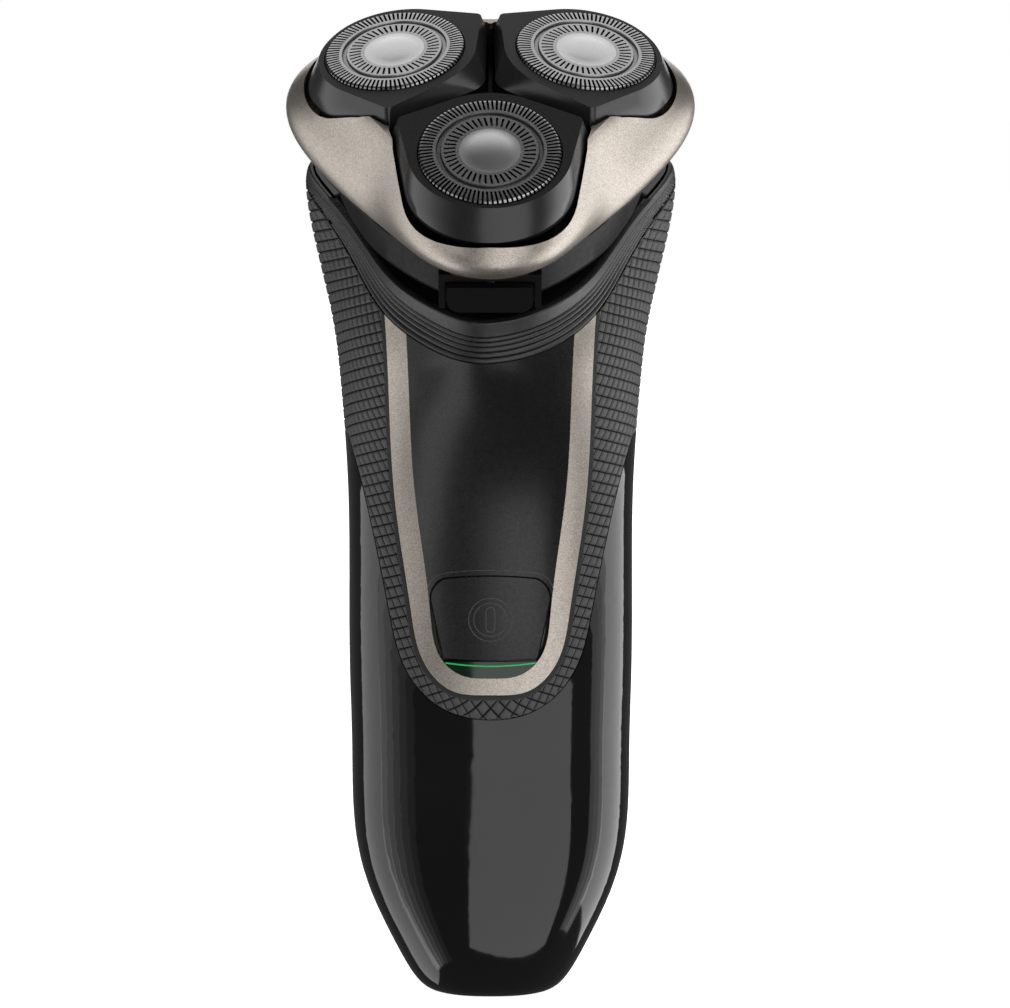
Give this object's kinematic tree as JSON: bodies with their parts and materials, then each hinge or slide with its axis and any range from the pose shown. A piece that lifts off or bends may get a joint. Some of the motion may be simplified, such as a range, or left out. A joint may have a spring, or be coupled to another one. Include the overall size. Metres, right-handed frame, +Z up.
{
  "type": "rotary electric shaver",
  "caption": "Upright rotary shaver: leaning three-lobed head with slotted round guards on a slim handle with a push button, rubber grips and a charging socket.",
  "frame": {"origin": "middle of the flat base that it stands on", "axes": "+Z up along the handle, -Y to the front (power button side), +X to the viewer's right from the front"},
  "size_m": [0.0702, 0.0674, 0.1716],
  "materials": {
    "gloss_black": "high gloss",
    "satin_black": "satin, blurred reflections",
    "grip_rubber": "matt, cross-grooved",
    "collar_rubber": "satin, ribbed",
    "bronze": "satin metallic flake",
    "pod_black": "fine satin texture",
    "inner_black": "moulded",
    "guard_steel": "polished and slotted",
    "cap_satin": "satin",
    "gear_nylon": "moulded",
    "spring_steel": "drawn wire",
    "brass": "plated",
    "board": "coated",
    "battery_wrap": "shrink sleeve",
    "lens_green": "clear tint",
    "seal_grey": "moulded",
    "motor_steel": "zinc plated",
    "blade_steel": "ground"
  },
  "bodies": {
    "handle": {"front_shell": "gloss_black", "rear_shell": "gloss_black", "front_panel": "satin_black", "trim_band": "bronze", "grip_overmould": "grip_rubber", "ribbed_collar": "collar_rubber", "indicator_lens": "lens_green", "chassis": "inner_black", "battery_cell": "battery_wrap", "battery_tabs": "brass", "circuit_board": "board", "power_switch": "inner_black", "indicator_led": "lens_green", "motor_can": "motor_steel", "charging_socket": "inner_black", "charging_pins": "brass", "socket_seal": "seal_grey", "button_seal": "seal_grey", "case_screws": "spring_steel", "neck_bracket": "inner_black"},
    "motor_rotor": {"motor_armature": "motor_steel", "drive_coupler": "gear_nylon"},
    "power_button": {"power_button": "satin_black"},
    "pivot_ring": {"pivot_ring": "inner_black"},
    "head_base": {"head_base": "inner_black", "gearbox_cover": "inner_black", "gearbox_screws": "spring_steel", "chamber_seal": "seal_grey", "head_hinge_pin": "spring_steel", "release_spring": "spring_steel"},
    "release_button": {"release_button": "gloss_black"},
    "sun_gear": {"sun_gear": "gear_nylon"},
    "head_cover": {"head_shell": "bronze", "pod_frame": "inner_black", "retaining_frame": "inner_black"},
    "frame_lock": {"frame_lock": "inner_black"},
    "spindle_gear_front": {"spindle_gear_front": "gear_nylon", "spindle_spring_front": "spring_steel"},
    "drive_spindle_front": {"drive_spindle_front": "gear_nylon"},
    "pod_front": {"cutter_pod_front": "pod_black"},
    "guard_front": {"guard_front": "guard_steel", "guard_cap_front": "cap_satin"},
    "cutter_front": {"cutter_blades_front": "blade_steel", "cutter_hub_front": "inner_black"},
    "spindle_gear_right": {"spindle_gear_right": "gear_nylon", "spindle_spring_right": "spring_steel"},
    "drive_spindle_right": {"drive_spindle_right": "gear_nylon"},
    "pod_right": {"cutter_pod_right": "pod_black"},
    "guard_right": {"guard_right": "guard_steel", "guard_cap_right": "cap_satin"},
    "cutter_right": {"cutter_blades_right": "blade_steel", "cutter_hub_right": "inner_black"},
    "spindle_gear_left": {"spindle_gear_left": "gear_nylon", "spindle_spring_left": "spring_steel"},
    "drive_spindle_left": {"drive_spindle_left": "gear_nylon"},
    "pod_left": {"cutter_pod_left": "pod_black"},
    "guard_left": {"guard_left": "guard_steel", "guard_cap_left": "cap_satin"},
    "cutter_left": {"cutter_blades_left": "blade_steel", "cutter_hub_left": "inner_black"}
  },
  "joints": [
    {"name": "power_button_press", "type": "slide", "parent": "handle", "child": "power_button", "axis": [0, 1, 0], "range_m": [0, 0.0008], "stiffness_N_per_m": 900, "springref_m": -0.0004},
    {"name": "motor_spin", "type": "hinge", "parent": "handle", "child": "motor_rotor", "pos_m": [0, 0.00208, 0.12624], "axis": [0, -0.5519, 0.8339], "continuous": true},
    {"name": "head_pitch", "type": "hinge", "parent": "handle", "child": "pivot_ring", "pos_m": [0, -0.00565, 0.13792], "axis": [1, 0, 0], "range_deg": [-2.5, 2.5], "stiffness_Nm_per_rad": 2},
    {"name": "head_roll", "type": "hinge", "parent": "pivot_ring", "child": "head_base", "pos_m": [0, -0.00565, 0.13792], "axis": [0, 0.8339, 0.5519], "range_deg": [-2.5, 2.5], "stiffness_Nm_per_rad": 2},
    {"name": "release_press", "type": "slide", "parent": "head_base", "child": "release_button", "axis": [0, 0.8339, 0.5519], "range_m": [0, 0.0012], "stiffness_N_per_m": 700, "springref_m": -0.0008, "deforming": ["release_spring"]},
    {"name": "sun_spin", "type": "hinge", "parent": "head_base", "child": "sun_gear", "pos_m": [0, -0.01172, 0.14709], "axis": [0, -0.5519, 0.8339], "continuous": true},
    {"name": "head_cover_open", "type": "hinge", "parent": "head_base", "child": "head_cover", "pos_m": [0, 0.01179, 0.16266], "axis": [-1, 0, 0], "range_deg": [0, 80]},
    {"name": "frame_lock_turn", "type": "hinge", "parent": "head_cover", "child": "frame_lock", "pos_m": [0, -0.01448, 0.15126], "axis": [0, -0.5519, 0.8339], "range_deg": [0, 90]},
    {"name": "gear_spin_front", "type": "hinge", "parent": "head_base", "child": "spindle_gear_front", "pos_m": [0, -0.02673, 0.13716], "axis": [0, -0.5519, 0.8339], "continuous": true},
    {"name": "spindle_slide_front", "type": "slide", "parent": "spindle_gear_front", "child": "drive_spindle_front", "axis": [0, 0.5519, -0.8339], "range_m": [0, 0.0008], "deforming": ["spindle_spring_front"]},
    {"name": "pod_tilt_front", "type": "hinge", "parent": "head_cover", "child": "pod_front", "pos_m": [0, -0.03202, 0.14516], "axis": [1, 0, 0], "range_deg": [-3, 3], "stiffness_Nm_per_rad": 0.06},
    {"name": "guard_float_front", "type": "slide", "parent": "pod_front", "child": "guard_front", "axis": [0, 0.6626, -0.749], "range_m": [0, 0.0008], "stiffness_N_per_m": 500, "springref_m": -0.0008},
    {"name": "cutter_spin_front", "type": "hinge", "parent": "guard_front", "child": "cutter_front", "pos_m": [0, -0.03432, 0.14775], "axis": [0, -0.6626, 0.749], "continuous": true},
    {"name": "gear_spin_right", "type": "hinge", "parent": "head_base", "child": "spindle_gear_right", "pos_m": [0.01559, -0.00422, 0.15206], "axis": [0, -0.5519, 0.8339], "continuous": true},
    {"name": "spindle_slide_right", "type": "slide", "parent": "spindle_gear_right", "child": "drive_spindle_right", "axis": [0, 0.5519, -0.8339], "range_m": [0, 0.0008], "deforming": ["spindle_spring_right"]},
    {"name": "pod_tilt_right", "type": "hinge", "parent": "head_cover", "child": "pod_right", "pos_m": [0.01559, -0.00951, 0.16006], "axis": [-0.5, 0.7222, 0.478], "range_deg": [-3, 3], "stiffness_Nm_per_rad": 0.06},
    {"name": "guard_float_right", "type": "slide", "parent": "pod_right", "child": "guard_right", "axis": [-0.1205, 0.4885, -0.8642], "range_m": [0, 0.0008], "stiffness_N_per_m": 500, "springref_m": -0.0008},
    {"name": "cutter_spin_right", "type": "hinge", "parent": "guard_right", "child": "cutter_right", "pos_m": [0.01601, -0.0112, 0.16305], "axis": [0.1205, -0.4885, 0.8642], "continuous": true},
    {"name": "gear_spin_left", "type": "hinge", "parent": "head_base", "child": "spindle_gear_left", "pos_m": [-0.01559, -0.00422, 0.15206], "axis": [0, -0.5519, 0.8339], "continuous": true},
    {"name": "spindle_slide_left", "type": "slide", "parent": "spindle_gear_left", "child": "drive_spindle_left", "axis": [0, 0.5519, -0.8339], "range_m": [0, 0.0008], "deforming": ["spindle_spring_left"]},
    {"name": "pod_tilt_left", "type": "hinge", "parent": "head_cover", "child": "pod_left", "pos_m": [-0.01559, -0.00951, 0.16006], "axis": [-0.5, -0.7222, -0.478], "range_deg": [-3, 3], "stiffness_Nm_per_rad": 0.06},
    {"name": "guard_float_left", "type": "slide", "parent": "pod_left", "child": "guard_left", "axis": [0.1205, 0.4885, -0.8642], "range_m": [0, 0.0008], "stiffness_N_per_m": 500, "springref_m": -0.0008},
    {"name": "cutter_spin_left", "type": "hinge", "parent": "guard_left", "child": "cutter_left", "pos_m": [-0.01601, -0.0112, 0.16305], "axis": [-0.1205, -0.4885, 0.8642], "continuous": true}
  ],
  "couplings": [
    {"joint": "sun_spin", "follows": "motor_spin", "ratio": 1},
    {"joint": "gear_spin_front", "follows": "motor_spin", "ratio": -1},
    {"joint": "cutter_spin_front", "follows": "motor_spin", "ratio": -1},
    {"joint": "spindle_slide_front", "follows": "guard_float_front", "ratio": 1},
    {"joint": "gear_spin_right", "follows": "motor_spin", "ratio": -1},
    {"joint": "cutter_spin_right", "follows": "motor_spin", "ratio": -1},
    {"joint": "spindle_slide_right", "follows": "guard_float_right", "ratio": 1},
    {"joint": "gear_spin_left", "follows": "motor_spin", "ratio": -1},
    {"joint": "cutter_spin_left", "follows": "motor_spin", "ratio": -1},
    {"joint": "spindle_slide_left", "follows": "guard_float_left", "ratio": 1}
  ]
}
